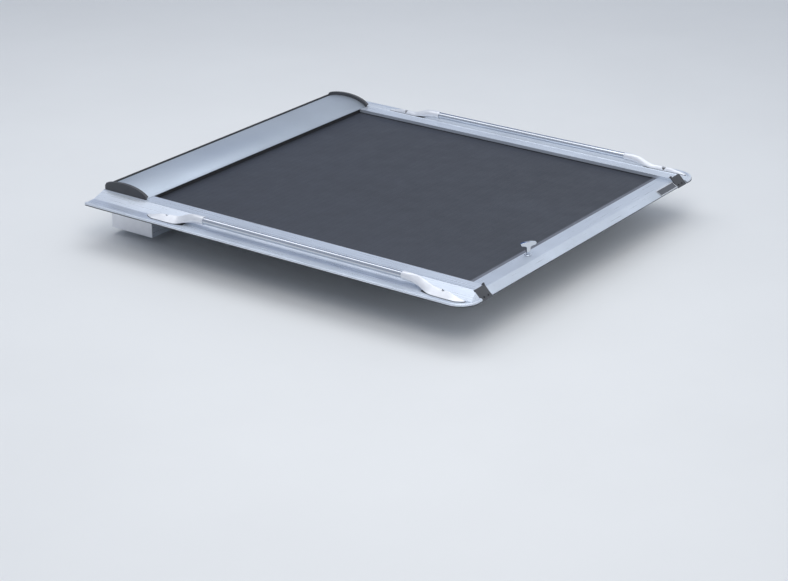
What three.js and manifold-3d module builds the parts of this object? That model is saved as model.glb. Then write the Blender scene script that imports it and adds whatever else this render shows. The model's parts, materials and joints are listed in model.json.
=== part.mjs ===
// Roll-up tonneau cover for a pickup bed: side rails, roll canister, curtain,
// tail bar with its lock, and a load rail on each side.
// Millimetres. +X is the right-hand side seen from the tailgate, +Y points to the cab, +Z is up.
// The origin is on the canister's front face, on the centreline, at the height of the bed rails' tops.
import * as THREE from 'three';
import { mergeVertices } from 'three/addons/utils/BufferGeometryUtils.js';
import Module from 'manifold-3d';

const wasm = await Module();
wasm.setup();

// ---------------------------------------------------------------- driving dimensions
const GAP = 0.3;                      // clearance between pieces that touch
const INNER_HALF = 665;               // centreline to a side rail's inner face
const OPENING = 1470;                 // lid edge to the rear end of the visible opening
const LID_DEPTH = 208;                // canister and lid, front to back
const RAIL_TOP = 32;                  // top strip of a side rail above the bed rail
const RAIL_WIDTH = 165;               // inner face to the outer lip
const RAIL_OVERHANG = 48;             // side rail's top edge behind the opening
const CURTAIN_TOP = 17;
const CURTAIN_THICK = 8;
const CURTAIN_SECTIONS = 6;
const TRAVEL = 1415;                  // stroke of the tail bar, closed to open
const LOCK_X = -324;                  // the lock stands left of the centreline
const TUBE_RADIUS = 12.7;
const TUBE_WALL = 1.6;
const DRUM_RADIUS = 45;
const CORNER_RADIUS = 80;             // rear outer corner of a rail's flange, in plan

// ---------------------------------------------------------------- derived places
const LID_REAR = -LID_DEPTH;
const OPENING_REAR = LID_REAR - OPENING;
const RAIL_REAR = OPENING_REAR - RAIL_OVERHANG;
const BAR_FRONT = OPENING_REAR + 14;
const BAR_TOP = RAIL_TOP - 10;
const BAR_BOX_REAR = BAR_FRONT - 48;
const BAR_REAR = OPENING_REAR - 79;
const LOCK_Y = BAR_FRONT - 22;
const SEAT = 2;                       // thickness of the strips that the rails sit on
const RAIL_BASE = SEAT + GAP;
const SLOT_LOW = 6.5;
const SLOT_HIGH = 19.5;
const SLOT_DEPTH = 14;
const SLOT_MIDDLE = (SLOT_LOW + SLOT_HIGH) / 2;
const TUBE_OUT = 108;                 // load tube's axis, outboard of the rail's inner face
const TUBE_HEIGHT = RAIL_TOP + 9;
const COIL_RADIUS = DRUM_RADIUS + 9;
const DRUM_Y = -LID_DEPTH / 2;
const DRUM_Z = CURTAIN_TOP - CURTAIN_THICK - GAP - COIL_RADIUS;
const CANISTER_FLOOR = -135;
const CANISTER_HALF = INNER_HALF + 15;
const ROD_RADIUS = 4;
const CLAMP_PLACES = [['front', -470], ['rear', -1420]];
const JAW_HALF = 28;                  // half of a clamp's length along the rail
const BOLT_HEIGHT = -28;
const LID_FRONT = -16;
const DRAIN_Y = -24;
const SIDES = [['left', -1], ['right', 1]];

const group = new THREE.Group();

// ---------------------------------------------------------------- materials
const finish = (color, metalness, roughness) => () =>
  new THREE.MeshStandardMaterial({ color, metalness, roughness });
const anodised = finish(0xb9c3d3, 0.9, 0.35);
const lidSilver = finish(0xaab6c6, 0.7, 0.4);
const stainless = finish(0xd6dade, 1, 0.12);
const castSilver = finish(0xdfe3ea, 0.5, 0.35);
const chrome = finish(0xe6e9ee, 1, 0.08);
const vinyl = finish(0x2a2d35, 0, 0.55);
const rubber = finish(0x141416, 0, 0.85);
const darkPlastic = finish(0x3b3d40, 0, 0.6);
const nylon = finish(0x2b2c2e, 0, 0.5);
const steel = finish(0x8d9298, 1, 0.4);
const plateFace = finish(0x6e7176, 0.6, 0.4);

// ---------------------------------------------------------------- shape helpers
// A closed outline, turned clockwise or anticlockwise as asked.
function loop(points, clockwise) {
  const corners = points.map(([a, b]) => new THREE.Vector2(a, b));
  if (THREE.ShapeUtils.isClockWise(corners) !== clockwise) {
    corners.reverse();
  }
  return new THREE.Shape(corners);
}

function profile(points, holes = []) {
  const shape = loop(points, false);
  for (const hole of holes) {
    shape.holes.push(loop(hole, true));
  }
  return shape;
}

const rectangle = (a0, b0, a1, b1) => [[a0, b0], [a1, b0], [a1, b1], [a0, b1]];

// An (x, z) outline swept along Y.
function alongY(shape, y0, y1) {
  const geometry = new THREE.ExtrudeGeometry(shape, { depth: y1 - y0, bevelEnabled: false });
  return geometry.rotateX(Math.PI / 2).translate(0, y1, 0);
}

// A (y, z) outline swept along X.
function alongX(shape, x0, x1) {
  const geometry = new THREE.ExtrudeGeometry(shape, { depth: x1 - x0, bevelEnabled: false });
  const turn = new THREE.Matrix4().makeBasis(
    new THREE.Vector3(0, 1, 0), new THREE.Vector3(0, 0, 1), new THREE.Vector3(1, 0, 0));
  return geometry.applyMatrix4(turn).translate(x0, 0, 0);
}

// An (x, y) outline swept along Z.
function alongZ(shape, z0, z1) {
  const geometry = new THREE.ExtrudeGeometry(shape, { depth: z1 - z0, bevelEnabled: false });
  return geometry.translate(0, 0, z0);
}

function box(x0, x1, y0, y1, z0, z1) {
  const geometry = new THREE.BoxGeometry(x1 - x0, y1 - y0, z1 - z0);
  return geometry.translate((x0 + x1) / 2, (y0 + y1) / 2, (z0 + z1) / 2);
}

// A box given by distances outboard of one rail's inner face.
function sideBox(side, s0, s1, y0, y1, z0, z1) {
  const ends = [side * (INNER_HALF + s0), side * (INNER_HALF + s1)];
  return box(Math.min(...ends), Math.max(...ends), y0, y1, z0, z1);
}

function rodX(radius, x0, x1, y, z, sides = 24) {
  const geometry = new THREE.CylinderGeometry(radius, radius, Math.abs(x1 - x0), sides);
  return geometry.rotateZ(Math.PI / 2).translate((x0 + x1) / 2, y, z);
}

function rodY(radius, y0, y1, x, z, sides = 24) {
  const geometry = new THREE.CylinderGeometry(radius, radius, y1 - y0, sides);
  return geometry.translate(x, (y0 + y1) / 2, z);
}

function rodZ(radius, z0, z1, x, y, sides = 24) {
  const geometry = new THREE.CylinderGeometry(radius, radius, z1 - z0, sides);
  return geometry.rotateX(Math.PI / 2).translate(x, y, (z0 + z1) / 2);
}

// A ring turned about X, from x0 to x1.
function sleeveX(outer, inner, x0, x1, y, z, sides = 32) {
  const half = (x1 - x0) / 2;
  const section = [[inner, -half], [outer, -half], [outer, half], [inner, half], [inner, -half]];
  const geometry = new THREE.LatheGeometry(section.map(([r, h]) => new THREE.Vector2(r, h)), sides);
  return geometry.rotateZ(Math.PI / 2).translate((x0 + x1) / 2, y, z);
}

function toSolid(geometry) {
  const plain = new THREE.BufferGeometry();
  plain.setAttribute('position', geometry.getAttribute('position').clone());
  if (geometry.index) {
    plain.setIndex(geometry.index.clone());
  }
  const merged = mergeVertices(plain, 1e-4);
  return new wasm.Manifold(new wasm.Mesh({
    numProp: 3,
    vertProperties: new Float32Array(merged.getAttribute('position').array),
    triVerts: new Uint32Array(merged.index.array),
  }));
}

function toGeometry(solid) {
  const mesh = solid.getMesh();
  const geometry = new THREE.BufferGeometry();
  geometry.setAttribute('position', new THREE.BufferAttribute(mesh.vertProperties.slice(), 3));
  geometry.setIndex(new THREE.BufferAttribute(mesh.triVerts.slice(), 1));
  return geometry;
}

const joined = (first, ...others) =>
  toGeometry(others.reduce((whole, piece) => whole.add(toSolid(piece)), toSolid(first)));

const cut = (first, ...tools) =>
  toGeometry(tools.reduce((whole, tool) => whole.subtract(toSolid(tool)), toSolid(first)));

function add(name, geometry, material) {
  const mesh = new THREE.Mesh(geometry, material());
  mesh.name = name;
  group.add(mesh);
}

// ---------------------------------------------------------------- side rails
const RIDGE = 57;                     // outer edge of the rail's top strip
const SLOPE_END = 116;
const SLOPE_FALL = 20;
const RIDGE_SHOULDER = RAIL_TOP - 1.5;
const WEB_DEPTH = -46;
const CAP_EDGE = RIDGE + 9;           // outer edge of the seat of the rail's end cap

// Height of the rail's upper surface outboard of the ridge.
function flangeHeight(s) {
  const share = THREE.MathUtils.clamp((s - RIDGE) / (SLOPE_END - RIDGE), 0, 1);
  const flat = Math.max(0, s - SLOPE_END) * 0.05;
  return RIDGE_SHOULDER - SLOPE_FALL * share - flat;
}

// The flange's outer part: thin web and rounded lip.
const skin = 3.2;
const lipOutline = [
  [RAIL_WIDTH - 3, 5.2], [RAIL_WIDTH - 3, RAIL_BASE], [RAIL_WIDTH, RAIL_BASE],
  [RAIL_WIDTH, 7.5], [RAIL_WIDTH - 1.2, 9.6], [RAIL_WIDTH - 4, 11], [RAIL_WIDTH - 9, 11.4],
  [RAIL_WIDTH - 13, 10.4], [RAIL_WIDTH - 16, flangeHeight(RAIL_WIDTH - 16)],
];

function railShape(side) {
  const outer = [
    [0, RAIL_TOP], [0, SLOT_HIGH], [SLOT_DEPTH, SLOT_HIGH], [SLOT_DEPTH, SLOT_LOW], [0, SLOT_LOW],
    [0, WEB_DEPTH], [8, WEB_DEPTH], [8, WEB_DEPTH + 3.5], [3.5, WEB_DEPTH + 3.5], [3.5, RAIL_BASE],
    [63, RAIL_BASE], [63, flangeHeight(63) - skin], [SLOPE_END, flangeHeight(SLOPE_END) - skin],
    ...lipOutline,
    [SLOPE_END + 4, flangeHeight(SLOPE_END + 4)], [SLOPE_END - 4, flangeHeight(SLOPE_END - 4)],
    [RIDGE, RIDGE_SHOULDER], [RIDGE - 1.6, RAIL_TOP + 1], [RIDGE - 4.5, RAIL_TOP + 1.3],
    [RIDGE - 6.5, RAIL_TOP],
  ];
  const upperChamber = rectangle(3, SLOT_HIGH + 3, RIDGE - 8, RAIL_TOP - 3);
  const lowerChamber = rectangle(SLOT_DEPTH + 3, RAIL_BASE + 3, RIDGE - 1, SLOT_HIGH);
  const place = (points) => points.map(([s, z]) => [side * (INNER_HALF + s), z]);
  return profile(place(outer), [place(upperChamber), place(lowerChamber)]);
}

// Everything behind the sloping plane that closes the rail's rear end.
// recess moves that plane forward, to leave room for a piece on it.
function behindSlope(side, s0, s1, recess) {
  const top = RAIL_REAR + recess;
  const reach = 120;
  const wedge = profile([
    [top + 40, RAIL_TOP + 40], [top - reach, RAIL_TOP + 40], [top - reach, RAIL_TOP - reach],
  ]);
  const ends = [side * (INNER_HALF + s0), side * (INNER_HALF + s1)];
  return alongX(wedge, Math.min(...ends), Math.max(...ends));
}

// An outline from the flange's outer part, swept round the rear corner and on to the box section.
const CORNER_OUT = RAIL_WIDTH - CORNER_RADIUS;
const CORNER_Y = RAIL_REAR - RAIL_TOP - 2 + CORNER_RADIUS;

function cornerSweep(side, outline) {
  const section = loop(outline.map(([s, z]) => [s - CORNER_OUT, z]), false).getPoints();
  const ring = new THREE.LatheGeometry([...section, section[0]], 64).rotateX(Math.PI / 2)
    .translate(side * (INNER_HALF + CORNER_OUT), CORNER_Y, 0);
  const reach = CORNER_RADIUS + 10;
  const quarter = sideBox(side, CORNER_OUT, CORNER_OUT + reach, CORNER_Y - reach, CORNER_Y, -5, 40);
  const ends = [side * (INNER_HALF + CAP_EDGE), side * (INNER_HALF + CORNER_OUT)];
  const straight = profile(outline.map(([s, z]) => [CORNER_Y - s + CORNER_OUT, z]));
  const turned = toSolid(ring).intersect(toSolid(quarter));
  return toGeometry(turned.add(toSolid(alongX(straight, Math.min(...ends), Math.max(...ends)))));
}

const rodHole = (side, y) =>
  rodX(ROD_RADIUS + 0.6, side * (INNER_HALF + SLOT_DEPTH - 3), side * (INNER_HALF + SLOT_DEPTH + 8),
    y, SLOT_MIDDLE);
const LOCK_STOPS = [LOCK_Y, LOCK_Y + TRAVEL / 2, LOCK_Y + TRAVEL];

for (const [name, side] of SIDES) {
  const capRecess = 6;
  const blank = alongY(railShape(side), RAIL_REAR - RAIL_TOP - 4, 0);
  const closingBlock = profile([
    [RIDGE + 2, RAIL_BASE], [SLOPE_END, RAIL_BASE], [SLOPE_END, flangeHeight(SLOPE_END) - 0.5],
    [RIDGE + 2, flangeHeight(RIDGE + 2) - 0.5],
  ].map(([s, z]) => [side * (INNER_HALF + s), z]));
  const webHoles = CLAMP_PLACES.map(([, y]) =>
    rodX(4.6, side * (INNER_HALF - 4), side * (INNER_HALF + 7), y, BOLT_HEIGHT));
  const trimmed = cut(joined(blank, alongY(closingBlock, RAIL_REAR - RAIL_TOP, RAIL_REAR - 2)),
    behindSlope(side, CAP_EDGE, RAIL_WIDTH + 5, 0),
    behindSlope(side, -5, CAP_EDGE + 0.05, capRecess),
    sideBox(side, SLOPE_END, RAIL_WIDTH + 5, CORNER_Y - 200, CORNER_Y, -5, 40),
    sideBox(side, -5, RIDGE - 3, LID_REAR - 1.5, 5, -60, 60),
    sideBox(side, -5, RIDGE, RAIL_REAR - 60, OPENING_REAR - 17, -60, RAIL_BASE),
    ...LOCK_STOPS.map((y) => rodHole(side, y)),
    ...webHoles);
  const flangeOutline = [
    [SLOPE_END - 4, flangeHeight(SLOPE_END) - skin], ...lipOutline,
    [SLOPE_END - 4, flangeHeight(SLOPE_END) + 0.2],
  ];
  const rail = joined(trimmed, cornerSweep(side, flangeOutline));
  add(`side_rail_${name}`, rail, anodised);

  // Nylon channel that lines the slot, open towards the curtain.
  const wall = 1.2;
  const deep = SLOT_DEPTH - GAP;
  const low = SLOT_LOW + GAP;
  const high = SLOT_HIGH - GAP;
  const channel = [
    [0.5, low], [deep, low], [deep, high], [0.5, high],
    [0.5, high - wall], [deep - wall, high - wall], [deep - wall, low + wall], [0.5, low + wall],
  ].map(([s, z]) => [side * (INNER_HALF + s), z]);
  const liner = cut(alongY(profile(channel), RAIL_REAR + 12, LID_REAR - 4),
    ...LOCK_STOPS.map((y) => rodHole(side, y)));
  add(`track_liner_${name}`, liner, nylon);

  // Rubber strips that the rail stands on, inside and under the outer lip.
  add(`seat_strip_${name}`, sideBox(side, 24, 60, OPENING_REAR - 16, LID_REAR - 4, 0, SEAT), rubber);
  const lipStrip = rectangle(RAIL_WIDTH - 4, 0, RAIL_WIDTH + 1.5, SEAT);
  const straightStrip = sideBox(side, RAIL_WIDTH - 4, RAIL_WIDTH + 1.5, CORNER_Y - 1, -2, 0, SEAT);
  add(`lip_seal_${name}`, joined(straightStrip, cornerSweep(side, lipStrip)), rubber);

  // Plastic cap on the sloping rear end, a little wider than the box section.
  const capThick = 5;
  const top = RAIL_REAR;
  const slab = profile([
    [top + capThick, RAIL_TOP], [top, RAIL_TOP], [top - RAIL_TOP - 1.5, -1.5],
    [top - RAIL_TOP - 1.5 + capThick, -1.5],
  ]);
  const nub = profile([
    [top + 12, RAIL_TOP + GAP], [top + 5.5, RAIL_TOP + GAP], [top + 3, RAIL_TOP - 2],
    [top - 1.5, RAIL_TOP - 2], [top + 3, RAIL_TOP + 8], [top + 6, RAIL_TOP + 8],
  ]);
  const span = (s0, s1) => {
    const ends = [side * (INNER_HALF + s0), side * (INNER_HALF + s1)];
    return [Math.min(...ends), Math.max(...ends)];
  };
  const screwSeats = [16, 42].map((s) =>
    rodY(2.6, top - 60, top - 26, side * (INNER_HALF + s), 7, 12));
  const cap = joined(alongX(slab, ...span(-0.3, CAP_EDGE - 1.5)), alongX(nub, ...span(0, 6)));
  add(`rail_end_cap_${name}`, cut(cap, ...screwSeats), darkPlastic);
}

// ---------------------------------------------------------------- load rails on the flanges
const FOOT_LENGTH = 268;
const SOCKET_DEPTH = 28;
const FRONT_TIP = LID_REAR - 76;      // tip of a front foot, behind the lid
const REAR_TIP = OPENING_REAR - 46;   // tip of a rear foot, near the rail's end
const FOOT_TIPS = [['front', FRONT_TIP, -1], ['rear', REAR_TIP, 1]];
const smooth = THREE.MathUtils.smoothstep;
const lerp = THREE.MathUtils.lerp;

const SOCKET_ROUND = TUBE_RADIUS + 3;

// One ring of a foot. share is 0 at the tube's socket and 1 at the tip. The socket is round; from
// there a crest runs down to the tip, with a steep inner side and a skirt that spreads outboard.
function footRing(share, sides) {
  const crest = TUBE_OUT + 16 * smooth(share, 0.35, 1.05);
  const inner = crest - lerp(SOCKET_ROUND, 7.5, smooth(share, 0.3, 0.9));
  const spread = 18 * smooth(share, 0.2, 0.55) - 12 * smooth(share, 0.86, 1);
  const outer = TUBE_OUT + SOCKET_ROUND + spread;
  const ground = (s) => flangeHeight(s) + 0.9;
  const socketTop = TUBE_HEIGHT + SOCKET_ROUND - ground(TUBE_OUT);
  const shoulder = lerp(socketTop, 18, smooth(share, 0.05, 0.5));
  const crown = ground(crest) + lerp(shoulder, 4.5, smooth(share, 0.7, 1));
  const planted = smooth(share, 0.06, 0.5);
  const ring = [];
  for (let i = 0; i < sides; i++) {
    const angle = (i / sides) * Math.PI * 2;
    const s = (inner + outer) / 2 + (outer - inner) / 2 * Math.cos(angle);
    const arch = Math.sin(angle);
    const reach = s > crest ? outer - crest : crest - inner;
    const away = Math.min(1, Math.abs(s - crest) / reach);
    const flank = (1 - away * away) ** 0.72;
    const skirt = 0.72 * (1 - away) ** 1.35 + 0.28 * (1 - away * away);
    const over = ground(s) + 0.6 * arch + (crown - ground(s)) * (s > crest ? skirt : flank);
    const settled = arch > 0.01 ? over : ground(s);
    ring.push([s, lerp(TUBE_HEIGHT + SOCKET_ROUND * arch, settled, planted)]);
  }
  return ring;
}

function footGeometry(side, tipY, towards) {
  const rings = 18;
  const sides = 22;
  const positions = [];
  const faces = [];
  for (let r = 0; r <= rings; r++) {
    const share = r / rings;
    const y = tipY + towards * FOOT_LENGTH * (1 - share);
    for (const [s, z] of footRing(share, sides)) {
      positions.push(side * (INNER_HALF + s), y, z);
    }
  }
  const quad = (a, b, c, d) => faces.push(a, b, c, a, c, d);
  for (let r = 0; r < rings; r++) {
    for (let i = 0; i < sides; i++) {
      const next = (i + 1) % sides;
      quad(r * sides + i, r * sides + next, (r + 1) * sides + next, (r + 1) * sides + i);
    }
  }
  for (let i = 1; i < sides - 1; i++) {
    faces.push(0, i + 1, i);
    const last = rings * sides;
    faces.push(last, last + i, last + i + 1);
  }
  if (side * towards < 0) {
    for (let f = 0; f < faces.length; f += 3) {
      [faces[f + 1], faces[f + 2]] = [faces[f + 2], faces[f + 1]];
    }
  }
  const geometry = new THREE.BufferGeometry();
  geometry.setAttribute('position', new THREE.Float32BufferAttribute(positions, 3));
  geometry.setIndex(faces);
  return geometry;
}

for (const [name, side] of SIDES) {
  const x = side * (INNER_HALF + TUBE_OUT);
  const stops = [];
  for (const [end, tipY, towards] of FOOT_TIPS) {
    const mouth = tipY + towards * FOOT_LENGTH;
    const stop = mouth - towards * SOCKET_DEPTH;
    stops.push(stop + towards * GAP);
    const socket = rodY(TUBE_RADIUS + GAP, Math.min(stop, mouth + towards * 10),
      Math.max(stop, mouth + towards * 10), x, TUBE_HEIGHT, 28);
    add(`load_foot_${name}_${end}`, cut(footGeometry(side, tipY, towards), socket), castSilver);
  }
  const [rear, front] = [Math.min(...stops), Math.max(...stops)];
  const bar = rodY(TUBE_RADIUS, rear, front, x, TUBE_HEIGHT, 28);
  const bore = rodY(TUBE_RADIUS - TUBE_WALL, rear - 5, front + 5, x, TUBE_HEIGHT, 28);
  add(`load_tube_${name}`, cut(bar, bore), stainless);
}

// ---------------------------------------------------------------- clamps under the rails
for (const [name, side] of SIDES) {
  for (const [end, y] of CLAMP_PLACES) {
    const jaw = profile([
      [3.8, -42], [3.8, -12], [24, -12], [24, -9], [46, -9], [46, -16], [30, -24], [22, -42],
    ].map(([s, z]) => [side * (INNER_HALF + s), z]));
    const bore = rodX(4.3, side * (INNER_HALF - 2), side * (INNER_HALF + 40), y, BOLT_HEIGHT);
    add(`clamp_${name}_${end}`, cut(alongY(jaw, y - JAW_HALF, y + JAW_HALF), bore), castSilver);
    const head = rodX(7, side * (INNER_HALF - 6.4), side * (INNER_HALF - GAP), y, BOLT_HEIGHT, 6);
    const shank = rodX(4, side * (INNER_HALF - 1), side * (INNER_HALF + 34), y, BOLT_HEIGHT);
    add(`clamp_bolt_${name}_${end}`, joined(head, shank), steel);
  }
}

// ---------------------------------------------------------------- canister and lid
const arch = new THREE.CubicBezierCurve(
  new THREE.Vector2(LID_REAR, RAIL_TOP + 1), new THREE.Vector2(LID_REAR + 32, RAIL_TOP + 31),
  new THREE.Vector2(LID_FRONT - 62, RAIL_TOP + 38), new THREE.Vector2(LID_FRONT, RAIL_TOP + 17));

// A strip that follows the lid's arch, from one offset to another along its normal.
function archStrip(low, high, steps = 14) {
  const edge = (offset, i) => {
    const point = arch.getPoint(i / steps);
    const tangent = arch.getTangent(i / steps);
    return [point.x - tangent.y * offset, point.y + tangent.x * offset];
  };
  const points = [];
  for (let i = 0; i <= steps; i++) {
    points.push(edge(high, i));
  }
  for (let i = steps; i >= 0; i--) {
    points.push(edge(low, i));
  }
  return points;
}

const sheet = 2;
const LID_HALF = INNER_HALF + 39;
const ROLLER_Y = LID_REAR + 16;
const ROLLER_Z = CURTAIN_TOP + 6.6;
const housing = [
  [0, RAIL_TOP + 12], [0, CANISTER_FLOOR], [LID_REAR + 2, CANISTER_FLOOR], [LID_REAR + 2, 6],
  [LID_REAR + 12, 6], [LID_REAR + 12, 4], [LID_REAR + 2 + sheet, 4],
  [LID_REAR + 2 + sheet, CANISTER_FLOOR + sheet], [-sheet, CANISTER_FLOOR + sheet],
  [-sheet, RAIL_TOP + 12 - sheet], [-14, RAIL_TOP + 12 - sheet], [-14, RAIL_TOP + 12],
];
const drainX = CANISTER_HALF - 60;
const drainBores = SIDES.map(([, side]) =>
  rodZ(6.3, CANISTER_FLOOR - 4, CANISTER_FLOOR + 6, side * drainX, DRAIN_Y, 20));
add('canister_housing',
  cut(alongX(profile(housing), -CANISTER_HALF, CANISTER_HALF), ...drainBores), anodised);

for (const [name, side] of SIDES) {
  const inner = CANISTER_HALF + GAP;
  const outer = CANISTER_HALF + 4;
  const span = (s0, s1) => [Math.min(side * s0, side * s1), Math.max(side * s0, side * s1)];
  // End plate with bearing holes for the drum's shaft and the guide roller.
  const endPlate = [
    [0, RAIL_TOP + 8], [0, CANISTER_FLOOR], [LID_REAR + 2, CANISTER_FLOOR], [LID_REAR + 2, RAIL_TOP - 4],
    [LID_REAR + 30, RAIL_TOP + 8],
  ];
  const shaftHole = rodX(8.3, side * (inner - 2), side * (outer + 2), DRUM_Y, DRUM_Z);
  const rollerHole = rodX(3.3, side * (inner - 2), side * (outer + 2), ROLLER_Y, ROLLER_Z, 16);
  add(`canister_end_${name}`,
    cut(alongX(profile(endPlate), ...span(inner, outer)), shaftHole, rollerHole), castSilver);

  // Moulded cap over the lid's end: a block on the bed rail and a band that stands proud of the panel.
  const capBand = [
    ...archStrip(2.6, 13).slice(0, 15),
    [-4, RAIL_TOP + 18], [-4, RAIL_BASE], [LID_REAR, RAIL_BASE], [LID_REAR, RAIL_TOP + 2],
  ];
  const capBase = [
    [-4, RAIL_TOP + 6], [-4, RAIL_BASE], [LID_REAR, RAIL_BASE], [LID_REAR, RAIL_TOP - 4],
    [LID_REAR + 30, RAIL_TOP + 6],
  ];
  add(`lid_end_cap_${name}`, joined(
    alongX(profile(capBand), ...span(LID_HALF + GAP, INNER_HALF + RIDGE - 4)),
    alongX(profile(capBase), ...span(outer + GAP, LID_HALF + 1))), darkPlastic);

  // Drain spout pressed through the canister's floor.
  const bore = 4;
  const spout = [[bore, -26], [6, -26], [6, -3], [10, -3], [10, -GAP], [bore, -GAP], [bore, -26]];
  const lathe = new THREE.LatheGeometry(spout.map(([r, h]) => new THREE.Vector2(r, h)), 20);
  lathe.rotateX(Math.PI / 2).translate(side * drainX, DRAIN_Y, CANISTER_FLOOR);
  add(`drain_spout_${name}`, lathe, rubber);
}

add('lid_panel', alongX(profile(archStrip(-2.5, 0, 18)), -LID_HALF, LID_HALF), lidSilver);
add('lid_front_seal',
  box(-LID_HALF, LID_HALF, LID_FRONT + 0.8, -3, RAIL_TOP + 12 + GAP, RAIL_TOP + 19), rubber);
const wiperHalf = INNER_HALF - 2;
add('lid_wiper_seal',
  box(-wiperHalf, wiperHalf, LID_REAR + 1, LID_REAR + 5, CURTAIN_TOP + 0.6, RAIL_TOP - 3), rubber);

// ---------------------------------------------------------------- drum in the canister
const curtainHalf = INNER_HALF + SLOT_DEPTH - 4;
const drumHalf = CANISTER_HALF - 3;
add('drum_shaft', rodX(8, -CANISTER_HALF - 3.5, CANISTER_HALF + 3.5, DRUM_Y, DRUM_Z), steel);
add('drum_tube', sleeveX(DRUM_RADIUS, DRUM_RADIUS - 3, -drumHalf, drumHalf, DRUM_Y, DRUM_Z, 40), anodised);
add('curtain_coil',
  sleeveX(COIL_RADIUS - GAP, DRUM_RADIUS + GAP, -curtainHalf, curtainHalf, DRUM_Y, DRUM_Z, 48), vinyl);
for (const [name, side] of SIDES) {
  const ends = [side * drumHalf, side * (drumHalf - 22)];
  add(`drum_bearing_${name}`,
    sleeveX(DRUM_RADIUS - 3 - GAP, 8.3, Math.min(...ends), Math.max(...ends), DRUM_Y, DRUM_Z, 32), nylon);
}

// Return spring wound round the shaft inside the drum.
const SPRING_TURNS = 9;
const SPRING_RADIUS = 20;
const SPRING_LENGTH = 190;
class SpringPath extends THREE.Curve {
  getPoint(t, target = new THREE.Vector3()) {
    const angle = t * SPRING_TURNS * Math.PI * 2;
    const y = DRUM_Y + SPRING_RADIUS * Math.cos(angle);
    const z = DRUM_Z + SPRING_RADIUS * Math.sin(angle);
    return target.set(-drumHalf + 60 + t * SPRING_LENGTH, y, z);
  }
}
const wireSection = new THREE.Shape().absarc(0, 0, 2.5, 0, Math.PI * 2);
const springWire = new THREE.ExtrudeGeometry(wireSection,
  { steps: SPRING_TURNS * 14, curveSegments: 3, extrudePath: new SpringPath() });
add('return_spring', springWire, steel);

add('guide_roller', joined(
  rodX(6, -CANISTER_HALF + 3, CANISTER_HALF - 3, ROLLER_Y, ROLLER_Z),
  rodX(3, -CANISTER_HALF - 3.5, CANISTER_HALF + 3.5, ROLLER_Y, ROLLER_Z, 16)), steel);

// ---------------------------------------------------------------- curtain
const curtainRear = BAR_FRONT + GAP;
const pitch = (LID_REAR - curtainRear) / CURTAIN_SECTIONS;
for (let i = 0; i < CURTAIN_SECTIONS; i++) {
  const rear = curtainRear + i * pitch;
  const front = rear + pitch - GAP;
  add(`curtain_section_${i + 1}`,
    box(-curtainHalf, curtainHalf, rear, front, CURTAIN_TOP - CURTAIN_THICK, CURTAIN_TOP), vinyl);
}
// The stretch inside the canister, from the mouth to the top of the coil.
add('curtain_lead',
  box(-curtainHalf, curtainHalf, LID_REAR, DRUM_Y, CURTAIN_TOP - CURTAIN_THICK, CURTAIN_TOP), vinyl);

// ---------------------------------------------------------------- tail bar
const barHalf = INNER_HALF - 0.8;
const barBase = RAIL_BASE;
const wallBar = 3;
const slopeTop = OPENING_REAR - 52;   // where the bar's top turns down to its rear edge
const barOutline = [
  [BAR_FRONT, BAR_TOP - 1.2], [BAR_FRONT - 1.2, BAR_TOP], [slopeTop + 7, BAR_TOP],
  [slopeTop + 3, BAR_TOP - 0.9], [slopeTop, BAR_TOP - 3], [BAR_REAR, 4],
  [BAR_REAR, barBase], [BAR_REAR + 5, barBase], [slopeTop + 2.5, BAR_TOP - wallBar - 2],
  [slopeTop + 6, BAR_TOP - wallBar], [BAR_BOX_REAR, BAR_TOP - wallBar],
  [BAR_BOX_REAR, barBase], [BAR_FRONT, barBase],
];
const barHollow = rectangle(
  BAR_BOX_REAR + wallBar, barBase + wallBar, BAR_FRONT - wallBar, BAR_TOP - wallBar);
const spindleHole = rodZ(9, barBase - 3, BAR_TOP + 3, LOCK_X, LOCK_Y);
add('tail_bar', cut(alongX(profile(barOutline, [barHollow]), -barHalf, barHalf), spindleHole), anodised);

// Strip that grips the curtain's rear edge and covers the joint.
add('curtain_edge_strip', alongX(profile([
  [BAR_FRONT + GAP, CURTAIN_TOP + GAP], [BAR_FRONT + 18, CURTAIN_TOP + GAP],
  [BAR_FRONT + 18, CURTAIN_TOP + 1.4], [BAR_FRONT + 7, CURTAIN_TOP + 2.4], [BAR_FRONT + GAP, BAR_TOP - 1],
]), -barHalf, barHalf), darkPlastic);

add('bar_lip_seal', box(-barHalf, barHalf, BAR_REAR - 0.5, BAR_REAR + 5, 0, SEAT), rubber);

for (const [name, side] of SIDES) {
  const rear = BAR_BOX_REAR + wallBar + 0.4;
  const front = BAR_FRONT - wallBar - 0.4;
  const plug = sideBox(side, -26, -0.2, rear, front, barBase + 3.4, BAR_TOP - 3.4);
  const shoe = sideBox(side, 0.6, SLOT_DEPTH - 4.5, BAR_BOX_REAR + 1, BAR_FRONT - 1, 8.6, 17.4);
  const bridge = sideBox(side, -2, 2, rear, front, 8.6, 17.4);
  const ends = [side * (INNER_HALF - 40), side * (INNER_HALF + 30)];
  const bore = rodX(ROD_RADIUS + 0.35, ...ends, LOCK_Y, SLOT_MIDDLE);
  add(`bar_slider_${name}`, cut(joined(plug, bridge, shoe), bore), nylon);
}

// Blank plate on the sloping face, near the right-hand end.
const PLATE_X = 597;
const plateHalf = 64;
const slopeUp = new THREE.Vector2(slopeTop - BAR_REAR, BAR_TOP - 3 - 4).normalize();
const slopeOut = new THREE.Vector2(-slopeUp.y, slopeUp.x);
const onSlope = (along, out) => [
  BAR_REAR + slopeUp.x * along + slopeOut.x * out, 4 + slopeUp.y * along + slopeOut.y * out];
add('name_plate', alongX(profile([
  onSlope(0.5, GAP), onSlope(30, GAP), onSlope(30, 1.5), onSlope(0.5, 1.5),
]), PLATE_X - plateHalf, PLATE_X + plateHalf), plateFace);

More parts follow.
